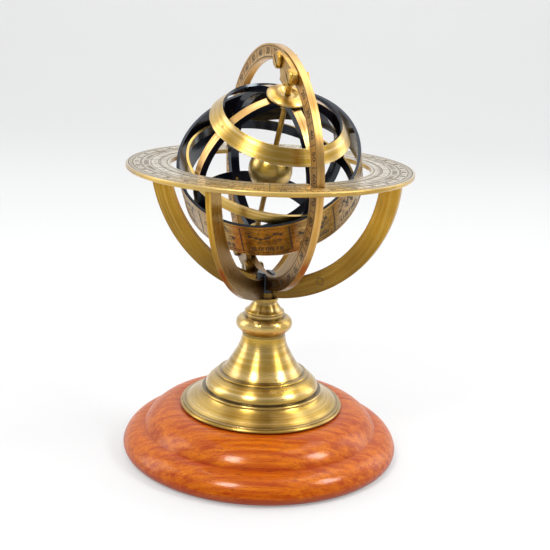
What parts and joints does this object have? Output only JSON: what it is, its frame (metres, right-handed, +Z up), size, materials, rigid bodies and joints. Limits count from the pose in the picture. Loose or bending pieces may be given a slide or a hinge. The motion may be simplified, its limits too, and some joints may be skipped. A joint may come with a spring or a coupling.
{
  "type": "armillary sphere",
  "caption": "Brass armillary sphere in a horizon ring and cradle on a bell pedestal and a round turned wooden base; the meridian tilts and the sphere spins.",
  "frame": {"origin": "on the surface the base stands on, under the middle of the base", "axes": "+Z up through the pedestal; -Y towards the side the object is seen from; the meridian ring stands at azimuth -68 degrees"},
  "size_m": [0.128, 0.128, 0.1875],
  "materials": {
    "antique_brass": "brushed antique brass, dark lacquer on the hoops' inner faces",
    "engraved_brass": "brushed antique brass with darkened engraving",
    "turned_brass": "lathe-brushed antique brass",
    "brass_fixings": "polished brass",
    "red_mahogany": "orange-red stained hardwood under gloss varnish",
    "green_felt": "short wool felt",
    "plain_steel": "zinc plated"
  },
  "bodies": {
    "stand": {"base_felt": "green_felt", "wooden_base": "red_mahogany", "base_washer": "plain_steel", "base_nut": "plain_steel", "tie_rod": "plain_steel", "pedestal_bell": "turned_brass", "bead_collar": "turned_brass", "neck_spool": "turned_brass", "cradle_arm_a": "antique_brass", "cradle_arm_b": "antique_brass", "meridian_fork": "antique_brass", "horizon_ring": "engraved_brass", "arm_screws": "brass_fixings"},
    "meridian": {"meridian_ring": "engraved_brass", "north_bracket": "antique_brass", "south_bracket": "antique_brass", "bracket_screws": "brass_fixings", "bracket_nuts": "brass_fixings", "polar_rod": "antique_brass", "earth_ball": "antique_brass"},
    "sphere": {"colure_a": "antique_brass", "colure_b": "antique_brass", "equator_band": "antique_brass", "tropic_band_north": "antique_brass", "tropic_band_south": "antique_brass", "zodiac_band": "engraved_brass", "polar_disc_north": "antique_brass", "polar_disc_south": "antique_brass", "pole_washers": "brass_fixings", "band_rivets": "brass_fixings", "zodiac_rivets": "brass_fixings"}
  },
  "joints": [
    {"name": "meridian_tilt", "type": "hinge", "parent": "stand", "child": "meridian", "pos_m": [0, 0, 0.1332], "axis": [0.9272, 0.3746, 0], "range_deg": [-2, 46]},
    {"name": "sphere_spin", "type": "hinge", "parent": "meridian", "child": "sphere", "pos_m": [0, 0, 0.1332], "axis": [0.1553, -0.3845, 0.91], "continuous": true}
  ]
}
